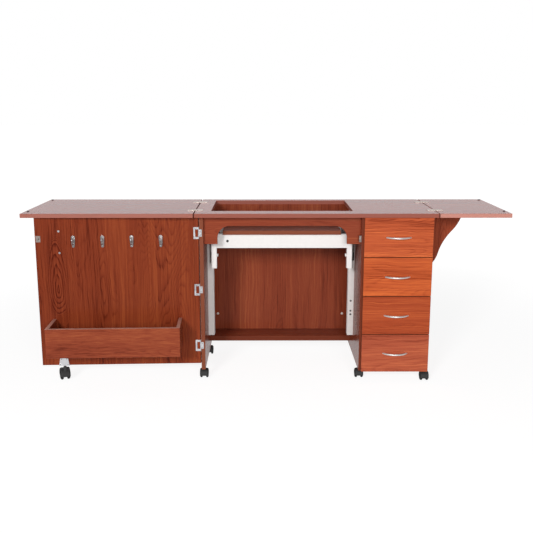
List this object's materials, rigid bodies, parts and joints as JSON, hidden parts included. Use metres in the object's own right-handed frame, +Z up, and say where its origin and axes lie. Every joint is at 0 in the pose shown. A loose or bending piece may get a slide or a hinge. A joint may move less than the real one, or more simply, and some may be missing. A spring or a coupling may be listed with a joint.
{
  "type": "folding sewing cutting table",
  "caption": "Sewing cabinet on casters with two fold-over top leaves, an open door that carries a pocket and hooks, a drawer column and a machine lift in the knee hole.",
  "frame": {"origin": "on the floor, at the middle of the whole object's box with both leaves and the door open", "axes": "+X to the right seen from the front, along the table's length, +Y to the back, +Z up"},
  "size_m": [2.12, 0.642, 0.7716],
  "materials": {
    "cherry_vertical": "semi-gloss laminate",
    "cherry_horizontal": "semi-gloss laminate",
    "cherry_top": "semi-gloss laminate",
    "drawer_board": "matt laminate",
    "satin_nickel": "satin",
    "zinc_steel": "bright zinc",
    "white_powder_coat": "powder coat",
    "black_steel": "satin paint",
    "chrome_rod": "polished",
    "black_plastic": "fine satin",
    "pale_plastic": "satin",
    "black_rubber": "matt"
  },
  "bodies": {
    "cabinet": {"main_top": "cherry_top", "left_side_panel": "cherry_vertical", "middle_panel": "cherry_vertical", "right_side_panel": "cherry_vertical", "back_panels": "cherry_vertical", "drawer_bay_floor": "cherry_horizontal", "knee_shelf": "cherry_horizontal", "cover_caps": "pale_plastic", "front_apron": "cherry_horizontal", "runner_channels": "zinc_steel", "magnetic_catch": "black_plastic", "cabinet_hinge_plates": "zinc_steel", "lift_columns": "white_powder_coat", "gas_spring_cylinders": "black_steel"},
    "left_leaf": {"left_leaf_board": "cherry_top", "left_leaf_hinges": "zinc_steel", "left_leaf_bumpers": "black_rubber"},
    "right_leaf": {"right_leaf_board": "cherry_top", "right_leaf_hinges": "zinc_steel", "right_leaf_bumpers": "black_rubber"},
    "door": {"door_panel": "cherry_vertical", "door_handle": "satin_nickel", "strike_plate": "satin_nickel", "door_pocket": "cherry_horizontal", "coat_hooks": "satin_nickel", "door_hinge_frames": "zinc_steel", "door_caster_bracket": "zinc_steel"},
    "leaf_bracket": {"leaf_bracket": "cherry_vertical", "bracket_hinge_wings": "zinc_steel"},
    "lift": {"lift_platform": "cherry_top", "lift_beams": "white_powder_coat", "lift_carriages": "white_powder_coat", "gas_spring_rods": "chrome_rod"},
    "drawer_1": {"drawer_1_front": "cherry_horizontal", "drawer_1_box": "drawer_board", "drawer_1_hardware": "satin_nickel"},
    "drawer_2": {"drawer_2_front": "cherry_horizontal", "drawer_2_box": "drawer_board", "drawer_2_hardware": "satin_nickel"},
    "drawer_3": {"drawer_3_front": "cherry_horizontal", "drawer_3_box": "drawer_board", "drawer_3_hardware": "satin_nickel"},
    "drawer_4": {"drawer_4_front": "cherry_horizontal", "drawer_4_box": "drawer_board", "drawer_4_hardware": "satin_nickel"},
    "left_front_caster": {"left_front_caster_housing": "black_plastic"},
    "left_front_wheels": {"left_front_caster_wheels": "black_plastic"},
    "left_rear_caster": {"left_rear_caster_housing": "black_plastic"},
    "left_rear_wheels": {"left_rear_caster_wheels": "black_plastic"},
    "middle_front_caster": {"middle_front_caster_housing": "black_plastic"},
    "middle_front_wheels": {"middle_front_caster_wheels": "black_plastic"},
    "right_front_caster": {"right_front_caster_housing": "black_plastic"},
    "right_front_wheels": {"right_front_caster_wheels": "black_plastic"},
    "right_rear_caster": {"right_rear_caster_housing": "black_plastic"},
    "right_rear_wheels": {"right_rear_caster_wheels": "black_plastic"},
    "door_caster": {"door_caster_housing": "black_plastic"},
    "door_wheels": {"door_caster_wheels": "black_plastic"}
  },
  "joints": [
    {"name": "left_leaf_fold", "type": "hinge", "parent": "cabinet", "child": "left_leaf", "pos_m": [-0.3135, 0.068, 0.7696], "axis": [0, 1, 0], "range_deg": [0, 180]},
    {"name": "right_leaf_fold", "type": "hinge", "parent": "cabinet", "child": "right_leaf", "pos_m": [0.7475, 0.068, 0.7696], "axis": [0, -1, 0], "range_deg": [0, 180]},
    {"name": "door_swing", "type": "hinge", "parent": "cabinet", "child": "door", "pos_m": [-0.2957, -0.148, 0.4], "axis": [0, 0, 1], "range_deg": [-2.2, 177.8]},
    {"name": "bracket_swing", "type": "hinge", "parent": "cabinet", "child": "leaf_bracket", "pos_m": [0.7283, 0.0553, 0.6], "axis": [0, 0, 1], "range_deg": [0, 90]},
    {"name": "lift_slide", "type": "slide", "parent": "cabinet", "child": "lift", "axis": [0, 0, 1], "range_m": [-0.19, 0.092]},
    {"name": "drawer_1_slide", "type": "slide", "parent": "cabinet", "child": "drawer_1", "axis": [0, -1, 0], "range_m": [0, 0.3]},
    {"name": "drawer_2_slide", "type": "slide", "parent": "cabinet", "child": "drawer_2", "axis": [0, -1, 0], "range_m": [0, 0.3]},
    {"name": "drawer_3_slide", "type": "slide", "parent": "cabinet", "child": "drawer_3", "axis": [0, -1, 0], "range_m": [0, 0.3]},
    {"name": "drawer_4_slide", "type": "slide", "parent": "cabinet", "child": "drawer_4", "axis": [0, -1, 0], "range_m": [0, 0.3]},
    {"name": "left_front_caster_swivel", "type": "hinge", "parent": "cabinet", "child": "left_front_caster", "pos_m": [-0.284, -0.095, 0.05], "axis": [0, 0, 1], "continuous": true},
    {"name": "left_front_wheel_spin", "type": "hinge", "parent": "left_front_caster", "child": "left_front_wheels", "pos_m": [-0.284, -0.109, 0.02], "axis": [1, 0, 0], "continuous": true},
    {"name": "left_rear_caster_swivel", "type": "hinge", "parent": "cabinet", "child": "left_rear_caster", "pos_m": [-0.284, 0.242, 0.05], "axis": [0, 0, 1], "continuous": true},
    {"name": "left_rear_wheel_spin", "type": "hinge", "parent": "left_rear_caster", "child": "left_rear_wheels", "pos_m": [-0.284, 0.228, 0.02], "axis": [1, 0, 0], "continuous": true},
    {"name": "middle_front_caster_swivel", "type": "hinge", "parent": "cabinet", "child": "middle_front_caster", "pos_m": [0.425, -0.095, 0.05], "axis": [0, 0, 1], "continuous": true},
    {"name": "middle_front_wheel_spin", "type": "hinge", "parent": "middle_front_caster", "child": "middle_front_wheels", "pos_m": [0.425, -0.109, 0.02], "axis": [1, 0, 0], "continuous": true},
    {"name": "right_front_caster_swivel", "type": "hinge", "parent": "cabinet", "child": "right_front_caster", "pos_m": [0.717, -0.133, 0.05], "axis": [0, 0, 1], "continuous": true},
    {"name": "right_front_wheel_spin", "type": "hinge", "parent": "right_front_caster", "child": "right_front_wheels", "pos_m": [0.717, -0.147, 0.02], "axis": [1, 0, 0], "continuous": true},
    {"name": "right_rear_caster_swivel", "type": "hinge", "parent": "cabinet", "child": "right_rear_caster", "pos_m": [0.717, 0.242, 0.05], "axis": [0, 0, 1], "continuous": true},
    {"name": "right_rear_wheel_spin", "type": "hinge", "parent": "right_rear_caster", "child": "right_rear_wheels", "pos_m": [0.717, 0.228, 0.02], "axis": [1, 0, 0], "continuous": true},
    {"name": "door_caster_swivel", "type": "hinge", "parent": "door", "child": "door_caster", "pos_m": [-0.91221, -0.14667, 0.075], "axis": [0, 0, 1], "continuous": true},
    {"name": "door_wheel_spin", "type": "hinge", "parent": "door_caster", "child": "door_wheels", "pos_m": [-0.91825, -0.13185, 0.026], "axis": [0.9259, 0.3778, 0], "continuous": true}
  ]
}
